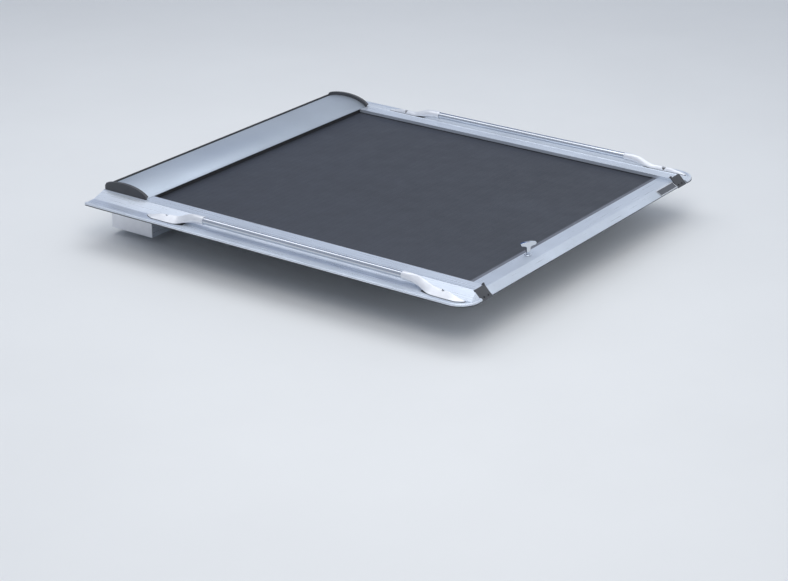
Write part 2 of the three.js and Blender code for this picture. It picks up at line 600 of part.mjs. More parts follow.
// ---------------------------------------------------------------- lock
add('lock_escutcheon', cut(
  joined(rodZ(14, BAR_TOP + GAP, BAR_TOP + 3, LOCK_X, LOCK_Y, 32),
    rodZ(11.5, BAR_TOP + 2.5, BAR_TOP + 5, LOCK_X, LOCK_Y, 32)),
  rodZ(7, BAR_TOP - 2, BAR_TOP + 8, LOCK_X, LOCK_Y, 24)), chrome);

const HANDLE_CLOCKING = -32 * Math.PI / 180;
const HANDLE_TOP = RAIL_TOP + 43;
const handleArms = new THREE.Shape();
handleArms.moveTo(-6, -30);
handleArms.lineTo(6, -30);
handleArms.lineTo(6.5, -14);
handleArms.quadraticCurveTo(9, -8, 26, -6);
handleArms.quadraticCurveTo(31, -3, 29, 1);
handleArms.quadraticCurveTo(14, 5, 0, 5);
handleArms.quadraticCurveTo(-14, 5, -29, 1);
handleArms.quadraticCurveTo(-31, -3, -26, -6);
handleArms.quadraticCurveTo(-9, -8, -6.5, -14);
handleArms.closePath();
const handleBody = new THREE.ExtrudeGeometry(handleArms,
  { depth: 8, curveSegments: 6, bevelEnabled: true, bevelThickness: 2, bevelSize: 1.6, bevelSegments: 2 });
handleBody.translate(0, 0, -4).rotateX(Math.PI / 2).rotateZ(HANDLE_CLOCKING)
  .translate(LOCK_X, LOCK_Y, HANDLE_TOP - 7);
const spindle = rodZ(6.6, 10, HANDLE_TOP - 32, LOCK_X, LOCK_Y, 24);
const keyBore = rodZ(5.3, HANDLE_TOP - 26, HANDLE_TOP + 10, LOCK_X, LOCK_Y, 24);
add('lock_handle', cut(joined(handleBody, spindle), keyBore), chrome);

const keySlot = box(LOCK_X - 3, LOCK_X + 3, LOCK_Y - 0.7, LOCK_Y + 0.7, HANDLE_TOP - 8, HANDLE_TOP + 4);
add('lock_cylinder',
  cut(rodZ(5, HANDLE_TOP - 25.6, HANDLE_TOP - 0.6, LOCK_X, LOCK_Y, 24), keySlot), steel);

// Cam on the spindle's lower end, between the two rods.
const camShape = profile([[-9, -5], [9, -5], [12, 0], [9, 5], [-9, 5], [-12, 0]]);
add('lock_cam', alongZ(camShape, 5.8, 9.7).translate(LOCK_X, LOCK_Y, 0), steel);

for (const [name, side] of SIDES) {
  const tip = side * (INNER_HALF + SLOT_DEPTH - 4);
  const root = LOCK_X + side * 13;
  add(`lock_rod_${name}`, rodX(ROD_RADIUS, Math.min(root, tip), Math.max(root, tip), LOCK_Y, SLOT_MIDDLE),
    steel);
}

export default group;
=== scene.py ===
# Looks of a roll-up tonneau cover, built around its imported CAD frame. Metres, +Z up.
import json
import math

import bmesh
import bpy
import numpy as np
from mathutils import Matrix, Vector


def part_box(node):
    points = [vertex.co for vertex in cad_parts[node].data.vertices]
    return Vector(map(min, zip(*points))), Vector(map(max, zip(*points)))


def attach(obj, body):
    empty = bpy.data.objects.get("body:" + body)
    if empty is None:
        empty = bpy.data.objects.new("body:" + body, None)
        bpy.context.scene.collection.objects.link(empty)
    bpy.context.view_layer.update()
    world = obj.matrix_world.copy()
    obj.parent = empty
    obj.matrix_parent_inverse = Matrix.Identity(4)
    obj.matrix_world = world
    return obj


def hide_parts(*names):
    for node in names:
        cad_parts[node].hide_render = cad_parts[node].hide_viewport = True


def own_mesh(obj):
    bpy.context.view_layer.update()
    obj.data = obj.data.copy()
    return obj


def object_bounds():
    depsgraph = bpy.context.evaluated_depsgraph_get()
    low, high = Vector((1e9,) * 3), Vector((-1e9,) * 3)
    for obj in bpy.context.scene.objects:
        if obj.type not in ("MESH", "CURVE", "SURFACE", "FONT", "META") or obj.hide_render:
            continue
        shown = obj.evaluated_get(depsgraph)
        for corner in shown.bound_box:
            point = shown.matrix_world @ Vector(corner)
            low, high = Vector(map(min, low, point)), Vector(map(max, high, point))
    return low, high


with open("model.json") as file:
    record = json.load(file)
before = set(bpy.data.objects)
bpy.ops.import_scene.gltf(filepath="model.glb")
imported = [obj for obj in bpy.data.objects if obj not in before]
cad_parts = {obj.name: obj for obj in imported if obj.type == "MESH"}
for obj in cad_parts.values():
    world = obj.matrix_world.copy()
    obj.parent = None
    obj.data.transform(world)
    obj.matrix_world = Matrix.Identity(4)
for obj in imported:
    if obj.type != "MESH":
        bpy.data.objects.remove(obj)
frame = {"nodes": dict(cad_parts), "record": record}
NODES = frame["nodes"]
BODY_OF = {n: b for b, names in frame["record"]["behaviour"]["bodies"].items() for n in names}
SLOT_OF = {s["node"]: s["material_slot"] for s in frame["record"]["subparts"]}
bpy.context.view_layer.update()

# ---------------------------------------------------------------- places taken from the frame
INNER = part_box("side_rail_right")[0].x
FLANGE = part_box("side_rail_right")[1].x - INNER
RAIL_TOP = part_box("side_rail_right")[1].z - 0.0013
LID_LOW, LID_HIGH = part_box("lid_panel")
MOUTH = LID_LOW.y
CURTAIN_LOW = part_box("curtain_section_1")[0]
CURTAIN_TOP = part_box("curtain_section_1")[1].z
CURTAIN_BASE = CURTAIN_LOW.z
CURTAIN_HALF = -CURTAIN_LOW.x
BAR_LOW, BAR_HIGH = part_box("tail_bar")
TUBE_LOW, TUBE_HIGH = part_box("load_tube_right")
TUBE_OUT = (TUBE_LOW.x + TUBE_HIGH.x) / 2 - INNER
TUBE_HEIGHT = (TUBE_LOW.z + TUBE_HIGH.z) / 2
TUBE_RADIUS = (TUBE_HIGH.z - TUBE_LOW.z) / 2
LOCK_LOW, LOCK_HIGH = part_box("lock_escutcheon")
LOCK = (LOCK_LOW + LOCK_HIGH) / 2

# Rail flange, outboard of the inner face.
RIDGE = 0.057
SLOPE_END = 0.116
SLOPE_FALL = 0.020
SHOULDER = RAIL_TOP - 0.0015


# ---------------------------------------------------------------- materials
class Finish:
    """A node material under construction."""

    def __init__(self, name, color, metallic, roughness, **sockets):
        self.material = bpy.data.materials.new(name)
        self.material.use_nodes = True
        self.tree = self.material.node_tree
        self.shader = self.tree.nodes["Principled BSDF"]
        self.color = color
        self.roughness = roughness
        self.shader.inputs["Metallic"].default_value = metallic
        self.shader.inputs["Base Color"].default_value = (*color, 1)
        self.shader.inputs["Roughness"].default_value = roughness
        for key, value in sockets.items():
            self.shader.inputs[key.replace("_", " ")].default_value = value
        self.place = self.add("ShaderNodeTexCoord").outputs["Object"]
        self.normal = None

    def add(self, kind, **values):
        node = self.tree.nodes.new(kind)
        for key, value in values.items():
            if hasattr(node, key):
                setattr(node, key, value)
            else:
                node.inputs[key.replace("_", " ")].default_value = value
        return node

    def link(self, source, target):
        self.tree.links.new(source, target)

    def spots(self, scale, detail=3.0, stretch=(1, 1, 1), roughness=0.55):
        """Noise over the object, drawn out along an axis by stretch."""
        mapping = self.add("ShaderNodeMapping")
        mapping.inputs["Scale"].default_value = stretch
        self.link(self.place, mapping.inputs["Vector"])
        noise = self.add("ShaderNodeTexNoise", Scale=scale, Detail=detail, Roughness=roughness)
        self.link(mapping.outputs["Vector"], noise.inputs["Vector"])
        return noise.outputs["Fac"]

    def cells(self, scale, feature="DISTANCE_TO_EDGE", stretch=(1, 1, 1)):
        mapping = self.add("ShaderNodeMapping")
        mapping.inputs["Scale"].default_value = stretch
        self.link(self.place, mapping.inputs["Vector"])
        voronoi = self.add("ShaderNodeTexVoronoi", feature=feature, Scale=scale)
        self.link(mapping.outputs["Vector"], voronoi.inputs["Vector"])
        return voronoi.outputs["Distance"]

    def spread(self, source, low, high, start=0.3, end=0.7):
        node = self.add("ShaderNodeMapRange")
        node.inputs["From Min"].default_value = start
        node.inputs["From Max"].default_value = end
        node.inputs["To Min"].default_value = low
        node.inputs["To Max"].default_value = high
        self.link(source, node.inputs["Value"])
        return node.outputs["Result"]

    def paint(self, source, dark, light, start=0.3, end=0.7):
        """Base colour that runs between two multiples of the finish's colour."""
        ramp = self.add("ShaderNodeValToRGB")
        stops = ramp.color_ramp.elements
        stops[0].position, stops[1].position = start, end
        stops[0].color = (*[min(1, c * dark) for c in self.color], 1)
        stops[1].color = (*[min(1, c * light) for c in self.color], 1)
        self.link(source, ramp.inputs["Fac"])
        return ramp.outputs["Color"]

    def coat_over(self, base, source, color, start, end):
        """Mixes another colour over base where source is high."""
        mix = self.add("ShaderNodeMix", data_type="RGBA")
        self.link(self.spread(source, 0, 1, start, end), mix.inputs[0])
        self.link(base, mix.inputs[6])
        mix.inputs[7].default_value = (*color, 1)
        return mix.outputs[2]

    def set_color(self, source):
        self.link(source, self.shader.inputs["Base Color"])

    def set_roughness(self, source, swing, start=0.3, end=0.7):
        low, high = self.roughness - swing, self.roughness + swing
        self.link(self.spread(source, low, high, start, end), self.shader.inputs["Roughness"])

    def bump(self, source, height, strength=1.0):
        """Relief of that height in metres; several calls add up."""
        node = self.add("ShaderNodeBump", Strength=strength, Distance=height)
        self.link(source, node.inputs["Height"])
        if self.normal is not None:
            self.link(self.normal, node.inputs["Normal"])
        self.normal = node.outputs["Normal"]
        self.link(self.normal, self.shader.inputs["Normal"])


def drawn_metal(name, color, roughness, along, fine=420, swing=0.07, metallic=1.0):
    """Extruded or drawn metal: fine die lines along one axis, and cloudy oxide."""
    stretch = tuple(0.012 if axis == along else 1.0 for axis in "XYZ")
    f = Finish(name, color, metallic, roughness)
    lines = f.spots(fine, 2.0, stretch)
    cloud = f.spots(5.0, 4.0)
    base = f.paint(cloud, 0.93, 1.05, 0.35, 0.68)
    f.set_color(f.coat_over(base, f.spots(46, 5.0), tuple(c * 0.86 for c in color), 0.62, 0.86))
    f.set_roughness(lines, swing)
    f.bump(lines, 0.00003, 0.55)
    f.bump(f.spots(900, 2.0), 0.000012, 0.35)
    return f.material


def cast_metal(name, color, roughness):
    """Die-cast alloy: an even silver skin with a fine tumbled texture."""
    f = Finish(name, color, 0.4, roughness)
    f.set_color(f.paint(f.spots(24, 4.0), 0.96, 1.03))
    f.set_roughness(f.spots(60, 3.0), 0.05)
    f.bump(f.spots(900, 3.0), 0.00003, 0.35)
    f.bump(f.spots(30, 2.0), 0.00012, 0.15)
    return f.material


def polished(name, color, roughness, along):
    stretch = tuple(0.02 if axis == along else 1.0 for axis in "XYZ")
    f = Finish(name, color, 1.0, roughness)
    f.set_color(f.paint(f.spots(9, 3.0), 0.95, 1.03))
    f.set_roughness(f.spots(520, 2.0, stretch), roughness * 0.5)
    f.bump(f.spots(620, 2.0, stretch), 0.000012, 0.3)
    return f.material


def vinyl(name, color, roughness):
    """Satin vinyl with a leather grain of about a millimetre, a little dust in the grain."""
    f = Finish(name, color, 0.0, roughness, Specular_IOR_Level=0.5)
    grain = f.cells(820)
    pores = f.spots(2400, 3.0)
    wash = f.spots(2.2, 3.0, (1.0, 0.6, 1.0))
    base = f.paint(wash, 0.90, 1.12, 0.3, 0.72)
    dusty = tuple(min(1, c * 1.5 + 0.01) for c in color)
    f.set_color(f.coat_over(base, f.spots(260, 4.0), dusty, 0.58, 0.98))
    f.set_roughness(f.spots(14, 4.0), 0.05)
    f.bump(grain, 0.00022, 0.5)
    f.bump(pores, 0.00006, 0.35)
    return f.material


def rubbery(name, color, roughness):
    f = Finish(name, color, 0.0, roughness)
    f.set_color(f.paint(f.spots(35, 5.0), 0.75, 1.35))
    f.set_roughness(f.spots(120, 3.0), 0.08)
    f.bump(f.spots(1500, 3.0), 0.00008, 0.4)
    return f.material


def moulded(name, color, roughness, grain=1100):
    f = Finish(name, color, 0.0, roughness)
    f.set_color(f.paint(f.spots(18, 4.0), 0.88, 1.14))
    f.set_roughness(f.spots(90, 3.0), 0.06)
    f.bump(f.cells(grain, "F1"), 0.00009, 0.45)
    return f.material


def sheet_paint(name, color, roughness):
    """Satin silver coating on sheet: fine metallic flake and slight orange peel."""
    f = Finish(name, color, 0.6, roughness, Coat_Weight=0.12, Coat_Roughness=0.3)
    flake = f.spots(2600, 1.0)
    base = f.paint(flake, 0.93, 1.07, 0.35, 0.65)
    f.set_color(f.coat_over(base, f.spots(4.0, 5.0), tuple(c * 0.9 for c in color), 0.5, 0.85))
    f.set_roughness(f.spots(7, 3.0), 0.04)
    f.bump(f.spots(210, 2.0), 0.00003, 0.35)
    return f.material


LOOKS = {
    "anodised": drawn_metal("anodised_along", (0.70, 0.75, 0.82), 0.32, "Y", metallic=0.55),
    "anodised_across": drawn_metal("anodised_across", (0.64, 0.69, 0.76), 0.34, "X", metallic=0.6),
    "lid_silver": sheet_paint("lid_coating", (0.45, 0.50, 0.565), 0.50),
    "stainless": polished("stainless_tube", (0.66, 0.69, 0.74), 0.16, "Y"),
    "cast_silver": cast_metal("cast_alloy", (0.86, 0.87, 0.90), 0.36),
    "chrome": polished("chrome_plate", (0.68, 0.72, 0.78), 0.07, "Z"),
    "vinyl": vinyl("curtain_vinyl", (0.029, 0.033, 0.044), 0.50),
    "rubber": rubbery("seal_rubber", (0.018, 0.018, 0.020), 0.75),
    "dark_plastic": moulded("moulded_grey", (0.062, 0.064, 0.070), 0.52),
    "nylon": moulded("moulded_black", (0.028, 0.028, 0.031), 0.45),
    "steel": drawn_metal("zinc_steel", (0.52, 0.54, 0.57), 0.34, "X", 300),
    "plate_face": drawn_metal("plate_foil", (0.16, 0.165, 0.18), 0.38, "X", 500),
    "strip_grey": moulded("strip_grey", (0.135, 0.145, 0.175), 0.5),
    "slat_metal": drawn_metal("slat_alloy", (0.50, 0.52, 0.55), 0.42, "X", 300),
}
ACROSS = {"tail_bar", "canister_housing", "drum_tube"}


def look_of(node):
    if node == "curtain_edge_strip":
        return LOOKS["strip_grey"]
    return LOOKS["anodised_across"] if node in ACROSS else LOOKS[SLOT_OF[node]]


# ---------------------------------------------------------------- mesh helpers
def piece(name, mesh, body, material, stands_for=()):
    """A new visible piece that rides on a body, in place of the CAD nodes it stands for."""
    o = bpy.data.objects.new(name, mesh)
    bpy.context.scene.collection.objects.link(o)
    mesh.materials.clear()
    mesh.materials.append(material)
    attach(o, body)
    if stands_for:
        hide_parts(*stands_for)
    return o


def smooth_mesh(mesh, angle=35):
    mesh.polygons.foreach_set("use_smooth", [True] * len(mesh.polygons))
    mesh.set_sharp_from_angle(angle=math.radians(angle))
    mesh.update()


def mesh_from(name, points, faces):
    mesh = bpy.data.meshes.new(name)
    mesh.from_pydata([tuple(p) for p in points], [], faces)
    bm = bmesh.new()
    bm.from_mesh(mesh)
    bmesh.ops.recalc_face_normals(bm, faces=bm.faces)
    bm.to_mesh(mesh)
    bm.free()
    mesh.update()
    return mesh


def finished(node, bevel=0.0006, segments=2, angle=28, material=None):
    """The CAD node's own shape with its sharp edges broken, shown in its place."""
    mesh = NODES[node].data.copy()
    mesh.name = node + "_finished"
    bm = bmesh.new()
    bm.from_mesh(mesh)
    bmesh.ops.remove_doubles(bm, verts=bm.verts, dist=1e-6)
    bmesh.ops.dissolve_limit(
        bm, angle_limit=math.radians(0.4), verts=bm.verts, edges=bm.edges, delimit=set())
    limit = math.radians(angle)
    sharp = [e for e in bm.edges if e.is_manifold and e.calc_face_angle(0) > limit]
    bmesh.ops.bevel(
        bm, geom=sharp, offset=bevel, offset_type="OFFSET", segments=segments, profile=0.5,
        affect="EDGES", clamp_overlap=True)
    bmesh.ops.recalc_face_normals(bm, faces=bm.faces)
    bm.to_mesh(mesh)
    bm.free()
    smooth_mesh(mesh, 50)
    o = piece(node + "_finished", mesh, BODY_OF[node],
              material or look_of(node), (node,))
    weighted = o.modifiers.new("weighted", "WEIGHTED_NORMAL")
    weighted.keep_sharp = True
    return o


def sweep(name, outline, steps, closed_ends=True):
    """Rings of the same outline: outline(i) gives ring i as a list of points."""
    rings = [outline(i) for i in range(steps)]
    count = len(rings[0])
    points = [p for ring in rings for p in ring]
    faces = []
    for r in range(steps - 1):
        for i in range(count):
            j = (i + 1) % count
            faces.append((r * count + i, r * count + j, (r + 1) * count + j, (r + 1) * count + i))
    if closed_ends:
        faces.append(tuple(range(count))[::-1])
        faces.append(tuple((steps - 1) * count + i for i in range(count)))
    return mesh_from(name, points, faces)


def smoothstep(x, low, high):
    t = min(1.0, max(0.0, (x - low) / (high - low)))
    return t * t * (3 - 2 * t)


def lerp(a, b, t):
    return a + (b - a) * t


def flange_height(s):
    share = min(1.0, max(0.0, (s - RIDGE) / (SLOPE_END - RIDGE)))
    return SHOULDER - SLOPE_FALL * share - max(0.0, s - SLOPE_END) * 0.05


# ---------------------------------------------------------------- curtain
SLATS = 52
SLAT_PITCH = (MOUTH - CURTAIN_LOW.y) / SLATS
SKIN = 0.0012
GROOVE = 0.00034
ROWS_PER_SLAT = 10
COLUMNS = 28


def curtain_height(x, y):
    """Top of the vinyl: it dips over each joint between slats, and waves very slightly."""
    phase = ((y - CURTAIN_LOW.y) / SLAT_PITCH) % 1.0
    dip = math.exp(-((min(phase, 1 - phase) / 0.09) ** 2))
    wave = 0.00016 * math.sin(x * 5.1 + 0.7) * math.sin(y * 3.7) + 0.0001 * math.sin(y * 21 + x * 3)
    return CURTAIN_TOP - 0.0003 - GROOVE * dip + wave


def make_curtain():
    rows = SLATS * ROWS_PER_SLAT
    points = []
    for layer in (0, 1):
        for r in range(rows + 1):
            y = lerp(CURTAIN_LOW.y, MOUTH, r / rows)
            for c in range(COLUMNS + 1):
                x = lerp(-CURTAIN_HALF, CURTAIN_HALF, c / COLUMNS)
                points.append((x, y, curtain_height(x, y) - layer * SKIN))
    wide = COLUMNS + 1
    under = (rows + 1) * wide
    faces = []
    for r in range(rows):
        for c in range(COLUMNS):
            a = r * wide + c
            faces.append((a, a + 1, a + wide + 1, a + wide))
            faces.append(tuple(under + k for k in (a, a + wide, a + wide + 1, a + 1)))
    rim = [c for c in range(wide)]
    rim += [r * wide + COLUMNS for r in range(1, rows + 1)]
    rim += [rows * wide + c for c in range(COLUMNS - 1, -1, -1)]
    rim += [r * wide for r in range(rows - 1, 0, -1)]
    for a, b in zip(rim, rim[1:] + rim[:1]):
        faces.append((b, a, under + a, under + b))
    mesh = mesh_from("curtain_vinyl", points, faces)
    smooth_mesh(mesh, 60)
    return piece("curtain_vinyl", mesh, "root", LOOKS["vinyl"],
                 tuple(f"curtain_section_{i}" for i in range(1, 7)))


def make_slats():
    """Alloy slats bonded under the vinyl, with a small gap at each joint."""
    top = CURTAIN_TOP - SKIN - GROOVE - 0.0006
    bm = bmesh.new()
    half_gap = 0.0007
    for i in range(SLATS):
        y0 = CURTAIN_LOW.y + i * SLAT_PITCH + half_gap
        y1 = CURTAIN_LOW.y + (i + 1) * SLAT_PITCH - half_gap
        corners = [bm.verts.new((x, y, z)) for x in (-CURTAIN_HALF, CURTAIN_HALF)
                   for y, z in ((y0, CURTAIN_BASE + 0.0008), (y0 + 0.002, CURTAIN_BASE),
                                (y1 - 0.002, CURTAIN_BASE), (y1, CURTAIN_BASE + 0.0008),
                                (y1, top - 0.0006), (y1 - 0.0008, top),
                                (y0 + 0.0008, top), (y0, top - 0.0006))]
        left, right = corners[:8], corners[8:]
        bm.faces.new(left)
        bm.faces.new(right[::-1])
        for k in range(8):
            n = (k + 1) % 8
            bm.faces.new((left[n], left[k], right[k], right[n]))
    bmesh.ops.recalc_face_normals(bm, faces=bm.faces)
    mesh = bpy.data.meshes.new("curtain_slats")
    bm.to_mesh(mesh)
    bm.free()
    smooth_mesh(mesh, 30)
    return piece("curtain_slats", mesh, "root", LOOKS["slat_metal"])


curtain = make_curtain()
slats = make_slats()
for soft in (curtain, slats):
    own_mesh(soft)


# ---------------------------------------------------------------- lid
def arch_points(count):
    """The lid's upper outline in (y, z), from its rear edge to its front edge."""
    front = LID_HIGH.y
    a = (MOUTH, RAIL_TOP + 0.001)
    b = (MOUTH + 0.032, RAIL_TOP + 0.031)
    c = (front - 0.062, RAIL_TOP + 0.038)
    d = (front, RAIL_TOP + 0.017)
    out = []
    for i in range(count + 1):
        t = i / count
        u = 1 - t
        out.append(tuple(u**3 * p + 3 * u * u * t * q + 3 * u * t * t * r + t**3 * s
                         for p, q, r, s in zip(a, b, c, d)))
    return out


def offset_outline(points, distance):
    out = []
    for i, (y, z) in enumerate(points):
        a = points[max(0, i - 1)]
        b = points[min(len(points) - 1, i + 1)]
        ty, tz = b[0] - a[0], b[1] - a[1]
        size = math.hypot(ty, tz)
        out.append((y - tz / size * distance, z + ty / size * distance))
    return out


def make_lid():
    top = arch_points(56)
    low = offset_outline(top, -0.0022)
    rear_roll = [(MOUTH - 0.0002, RAIL_TOP - 0.0004), (MOUTH + 0.0006, RAIL_TOP - 0.0010)]
    outline = top + low[::-1] + rear_roll[::-1]
    half = LID_HIGH.x
    stations = [-half, -half + 0.0006, half - 0.0006, half]
    inset = [0.0005, 0.0, 0.0, 0.0005]

    def ring(i):
        lift = -inset[i]
        return [(stations[i], y, z + (lift if k <= 56 else 0)) for k, (y, z) in enumerate(outline)]

    mesh = sweep("lid_panel_finished", ring, 4)
    smooth_mesh(mesh, 40)
    return piece("lid_panel_finished", mesh, "root", LOOKS["lid_silver"], ("lid_panel",))


make_lid()


# ---------------------------------------------------------------- load rails
def make_tube(side, name):
    low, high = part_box(f"load_tube_{name}")
    sides = 64
    centre_x = (low.x + high.x) / 2
    bore = TUBE_RADIUS - 0.0016
    stops = [(low.y, bore), (low.y, TUBE_RADIUS - 0.0004), (low.y + 0.0004, TUBE_RADIUS),
             (high.y - 0.0004, TUBE_RADIUS), (high.y, TUBE_RADIUS - 0.0004), (high.y, bore)]
    points, faces = [], []
    for y, r in stops:
        for k in range(sides):
            angle = 2 * math.pi * k / sides
            points.append((centre_x + r * math.cos(angle), y, TUBE_HEIGHT + r * math.sin(angle)))
    for r in range(len(stops)):
        s = (r + 1) % len(stops)
        for k in range(sides):
            n = (k + 1) % sides
            faces.append((r * sides + k, r * sides + n, s * sides + n, s * sides + k))
    mesh = mesh_from(f"load_tube_{name}_finished", points, faces)
    smooth_mesh(mesh, 30)
    return piece(f"load_tube_{name}_finished", mesh, "root", LOOKS["stainless"],
                 (f"load_tube_{name}",))


SOCKET_ROUND = TUBE_RADIUS + 0.003
FOOT_LIFT = 0.0009
FOOT_STEPS = 60
FOOT_SIDES = 56
TIP_SHARE = 0.955


def foot_plan(t):
    """A foot's crest line and its inner and outer edges, outboard of the rail's inner face."""
    crest = TUBE_OUT + 0.016 * smoothstep(t, 0.35, 1.05)
    inner = crest - lerp(SOCKET_ROUND, 0.0075, smoothstep(t, 0.3, 0.9))
    spread = 0.018 * smoothstep(t, 0.2, 0.55) - 0.012 * smoothstep(t, 0.86, 1.0)
    return crest, inner, TUBE_OUT + SOCKET_ROUND + spread


def foot_crown(t, crest):
    socket_top = TUBE_HEIGHT + SOCKET_ROUND - flange_height(TUBE_OUT) - FOOT_LIFT
    shoulder = lerp(socket_top, 0.018, smoothstep(t, 0.05, 0.5))
    return flange_height(crest) + FOOT_LIFT + lerp(shoulder, 0.0045, smoothstep(t, 0.7, 1.0))


def foot_ring(t):
    """Section of a foot: round at the socket, then a crest with a skirt on its outer side."""
    crest, inner, outer = foot_plan(t)
    crown = foot_crown(t, crest)
    planted = smoothstep(t, 0.06, 0.5)
    edge = 0.0018
    ring = []
    for k in range(FOOT_SIDES):
        angle = 2 * math.pi * k / FOOT_SIDES
        across, up = math.cos(angle), math.sin(angle)
        s = (inner + outer) / 2 + (outer - inner) / 2 * across
        ground = flange_height(s) + FOOT_LIFT
        settled = ground
        if up > 0.001:
            away = min(1.0, abs(s - crest) / ((outer - crest) if s > crest else (crest - inner)))
            skirt = 0.72 * (1 - away) ** 1.35 + 0.28 * (1 - away * away)
            flank = (1 - away * away) ** 0.72
            rim = ground + edge * min(1.0, up * 5)
            settled = rim + max(0.0, crown - rim) * (skirt if s > crest else flank)
        ring.append((s, lerp(TUBE_HEIGHT + SOCKET_ROUND * up, settled, planted)))
    return ring


def tip_shrink(t):
    """Factor that rounds the last few millimetres of the tip in plan."""
    past = max(0.0, (t - TIP_SHARE) / (1 - TIP_SHARE))
    return max(0.06, math.sqrt(max(0.0, 1 - past * past)))


def make_foot(side, name):
    low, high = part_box(name)
    front = "front" in name
    tip, mouth = (high.y, low.y) if front else (low.y, high.y)
    length = abs(tip - mouth)
    shares = [0.0, 0.004]
    shares += [0.004 + (TIP_SHARE - 0.004) * i / FOOT_STEPS for i in range(1, FOOT_STEPS + 1)]
    shares += [lerp(TIP_SHARE, 1.0, k) for k in (0.25, 0.45, 0.62, 0.76, 0.87, 0.95, 0.99, 1.0)]
    points, faces = [], []
    for index, t in enumerate(shares):
        ring = foot_ring(t)
        _, inner_edge, outer_edge = foot_plan(t)
        out = (inner_edge + outer_edge) / 2
        shrink = tip_shrink(t)
        bevelled = 0.965 if index == 0 else 1.0
        centre_z = TUBE_HEIGHT if t < 0.01 else flange_height(out) + FOOT_LIFT
        for s, z in ring:
            s2 = out + (s - out) * shrink * bevelled
            z2 = centre_z + (z - centre_z) * lerp(shrink, 1.0, 0.25) * bevelled
            points.append((side * (INNER + s2), lerp(mouth, tip, t), z2))
    count = FOOT_SIDES
    for r in range(len(shares) - 1):
        for k in range(count):
            n = (k + 1) % count
            faces.append((r * count + k, r * count + n, (r + 1) * count + n, (r + 1) * count + k))
    last = (len(shares) - 1) * count
    faces.append(tuple(last + k for k in range(count)))
    # Socket that the tube goes into.
    depth = 0.028
    towards = 1 if tip > mouth else -1
    inner = len(points)
    bore = TUBE_RADIUS + 0.0003
    for y, r in ((mouth, bore + 0.0007), (mouth + towards * 0.0008, bore),
                 (mouth + towards * depth, bore)):
        for k in range(count):
            angle = 2 * math.pi * k / count
            points.append((side * (INNER + TUBE_OUT + r * math.cos(angle)), y,
                           TUBE_HEIGHT + r * math.sin(angle)))
    for k in range(count):
        n = (k + 1) % count
        faces.append((k, n, inner + n, inner + k))
        for layer in range(2):
            a, b = inner + layer * count, inner + (layer + 1) * count
            faces.append((a + k, a + n, b + n, b + k))
    faces.append(tuple(inner + 2 * count + k for k in range(count)))
    mesh = mesh_from(name + "_finished", points, faces)
    smooth_mesh(mesh, 48)
    o = piece(name + "_finished", mesh, "root", LOOKS["cast_silver"], (name,))
    make_pad(side, name, tip, mouth)
    make_notch(side, name, o, tip, mouth)
    return o


def make_pad(side, name, tip, mouth):
    """Thin rubber gasket between a foot and the rail, a little wider than the foot."""
    start, steps, around, across = 0.34, 56, 0.0012, 4
    direction = 1 if tip > mouth else -1
    rows = []
    for i in range(steps + 1):
        t = lerp(start, 1.0, 1 - (1 - i / steps) ** 1.6)
        _, inner, outer = foot_plan(t)
        wide = (outer - inner) / 2 * max(tip_shrink(t), 0.22) + around
        y = lerp(mouth, tip, t) + direction * around * (1 if i == steps else 0)
        middle = (inner + outer) / 2
        rows.append([(lerp(middle - wide, middle + wide, k / across), y) for k in range(across + 1)])
    points = [(side * (INNER + s), y, flange_height(s) + layer)
              for layer in (0.00015, FOOT_LIFT + 0.0002) for row in rows for s, y in row]
    wide = across + 1
    under = (steps + 1) * wide
    faces = []
    for i in range(steps):
        for k in range(across):
            a = i * wide + k
            faces.append((a, a + 1, a + wide + 1, a + wide))
            faces.append(tuple(under + q for q in (a, a + wide, a + wide + 1, a + 1)))
        for k in (0, across):
            a = i * wide + k
            faces.append((a, a + wide, under + a + wide, under + a))
    for i in (0, steps):
        for k in range(across):
            a = i * wide + k
            faces.append((a, a + 1, under + a + 1, under + a))
    mesh = mesh_from(name + "_pad", points, faces)
    smooth_mesh(mesh, 30)
    return piece(name + "_pad", mesh, "root", LOOKS["rubber"])


def turned(name, outline, place, sides=28):
    """A closed solid of revolution: outline is (radius, height) from its lower to its upper end."""
    points = [place @ Vector((r * math.cos(2 * math.pi * k / sides), r * math.sin(2 * math.pi * k / sides), z))
              for r, z in outline for k in range(sides)]
    faces = [tuple(range(sides)), tuple((len(outline) - 1) * sides + k for k in range(sides))]
    for ring in range(len(outline) - 1):
        for k in range(sides):
            n = (k + 1) % sides
            low = ring * sides
            faces.append((low + k, low + n, low + sides + n, low + sides + k))
    return mesh_from(name, points, faces)


def cut_away(target, tool_mesh):
    """Cuts a tool's shape out of a piece."""
    cutter = bpy.data.objects.new("tool", tool_mesh)
    bpy.context.scene.collection.objects.link(cutter)
    boolean = target.modifiers.new("pocket", "BOOLEAN")
    boolean.operation = "DIFFERENCE"
    boolean.solver = "EXACT"
    boolean.object = cutter
    apply_modifiers(target)
    bpy.data.objects.remove(cutter)


NOTCH_SHARE = 0.655
NOTCH_RADIUS = 0.0082


def make_notch(side, name, foot, tip, mouth):
    """Screw pocket let into the crest, with the screw's head at its bottom."""
    crest, inner, _ = foot_plan(NOTCH_SHARE)
    s = lerp(crest, inner, 0.18)
    floor_z = flange_height(s) + FOOT_LIFT + 0.0062
    place = Matrix.Translation((side * (INNER + s), lerp(mouth, tip, NOTCH_SHARE), floor_z))
    cut_away(foot, turned(name + "_tool", [(NOTCH_RADIUS, 0), (NOTCH_RADIUS, 0.03)], place))
    smooth_mesh(foot.data, 42)
    screw(name + "_screw", place, 0.0066, "dark_plastic")


